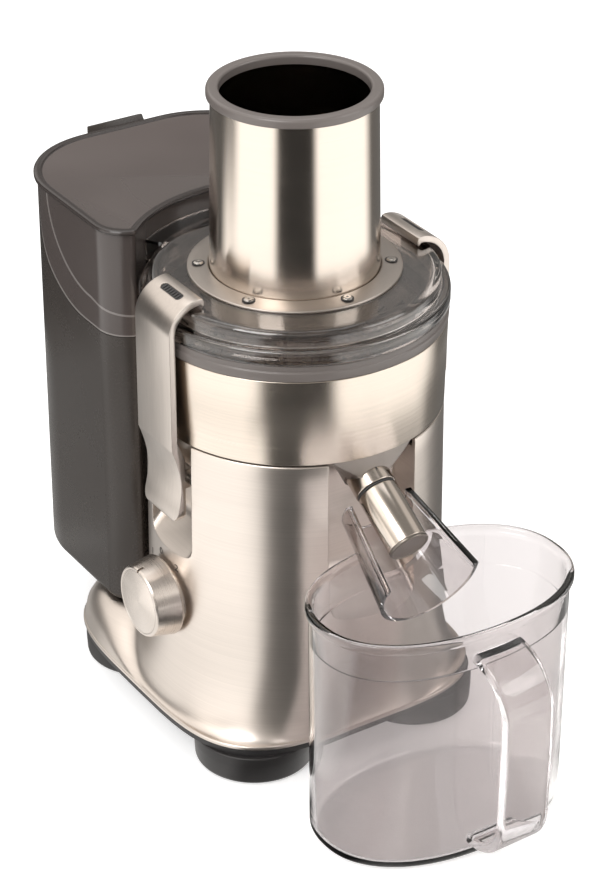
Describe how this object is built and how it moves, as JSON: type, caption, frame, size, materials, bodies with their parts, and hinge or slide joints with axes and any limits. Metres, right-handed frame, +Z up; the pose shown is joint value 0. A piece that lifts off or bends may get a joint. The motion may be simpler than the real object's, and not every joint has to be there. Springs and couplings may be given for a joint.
{
  "type": "centrifugal_juicer",
  "caption": "Centrifugal juicer with brushed metal body, wide steel feed chute, smoked lid, side clamps, charcoal pulp bin, drip-stop spout and clear jug",
  "frame": {"origin": "centre of the bounding box's footprint, on the surface that the feet and the jug stand on", "axes": "+Z up along the spin axis; -Y towards the spout and jug; +Y towards the pulp bin; -X towards the speed knob"},
  "size_m": [0.204, 0.4375, 0.3977],
  "materials": {
    "cast_aluminium": "satin",
    "brushed_band": "brushed round the axis",
    "polished_steel": "satin polish",
    "bright_steel": "bright",
    "dark_plastic": "fine grain",
    "grey_plastic": "satin",
    "foot_rubber": "matte",
    "seal_rubber": "matte",
    "smoked_clear": "clear, smoked",
    "jug_clear": "clear",
    "bin_plastic": "translucent, polished",
    "hood_plastic": "translucent, polished",
    "laminated_steel": "matte",
    "copper_winding": "enamelled",
    "brush_brown": "matte",
    "circuit_board": "matte"
  },
  "bodies": {
    "power_unit": {"body_shell": "cast_aluminium", "base_cover": "dark_plastic", "foot_front_left": "foot_rubber", "foot_front_right": "foot_rubber", "foot_rear_left": "foot_rubber", "foot_rear_right": "foot_rubber", "cover_screws": "bright_steel", "cord_gland": "dark_plastic", "top_deck": "grey_plastic", "shaft_seal": "seal_rubber", "motor_bracket": "laminated_steel", "lower_bracket": "laminated_steel", "stator": "laminated_steel", "stator_coils": "copper_winding", "upper_bearing": "bright_steel", "lower_bearing": "bright_steel", "brush_gear": "brush_brown", "control_board": "circuit_board", "speed_switch": "dark_plastic", "lock_switches": "dark_plastic", "filter_bowl": "grey_plastic", "steel_band": "brushed_band", "spout_pipe": "polished_steel", "spout_ring": "seal_rubber", "lid": "smoked_clear", "lid_seal": "seal_rubber", "chute_sleeve": "brushed_band", "chute_collar": "grey_plastic", "bezel_ring": "bright_steel", "bezel_screws": "polished_steel", "pulp_hood": "hood_plastic", "left_clamp_pin": "bright_steel", "right_clamp_pin": "bright_steel"},
    "drive": {"motor_shaft": "bright_steel", "armature": "laminated_steel", "commutator": "copper_winding", "cooling_fan": "grey_plastic", "drive_coupling": "dark_plastic", "basket_hub": "grey_plastic", "grating_disc": "bright_steel", "sieve": "bright_steel", "basket_rim": "bright_steel"},
    "spout_tip": {"spout_sleeve": "polished_steel", "spout_cap": "grey_plastic"},
    "left_clamp": {"left_clamp": "cast_aluminium", "left_clamp_pad": "grey_plastic"},
    "right_clamp": {"right_clamp": "cast_aluminium", "right_clamp_pad": "grey_plastic"},
    "knob": {"speed_knob": "cast_aluminium", "knob_cap": "polished_steel"},
    "bin": {"pulp_bin": "bin_plastic"},
    "jug": {"juice_jug": "jug_clear", "jug_handle": "jug_clear", "froth_guard": "jug_clear"}
  },
  "joints": [
    {"name": "drive_spin", "type": "hinge", "parent": "power_unit", "child": "drive", "pos_m": [0.0035, 0.011, 0.1], "axis": [0, 0, 1], "continuous": true},
    {"name": "left_clamp_hinge", "type": "hinge", "parent": "power_unit", "child": "left_clamp", "pos_m": [-0.0755, 0.011, 0.178], "axis": [0, -1, 0], "range_deg": [0, 26]},
    {"name": "right_clamp_hinge", "type": "hinge", "parent": "power_unit", "child": "right_clamp", "pos_m": [0.0825, 0.011, 0.178], "axis": [0, 1, 0], "range_deg": [0, 26]},
    {"name": "knob_turn", "type": "hinge", "parent": "power_unit", "child": "knob", "pos_m": [-0.0915, 0.015, 0.095], "axis": [-1, 0, 0], "range_deg": [0, 40]},
    {"name": "spout_turn", "type": "hinge", "parent": "power_unit", "child": "spout_tip", "pos_m": [0.0035, -0.06, 0.191], "axis": [0, -0.866, -0.5], "range_deg": [0, 90]},
    {"name": "bin_slide", "type": "slide", "parent": "power_unit", "child": "bin", "axis": [0, 1, 0], "range_m": [0, 0.15]},
    {"name": "jug_slide", "type": "slide", "parent": "power_unit", "child": "jug", "axis": [0, -1, 0], "range_m": [0, 0.15]}
  ]
}
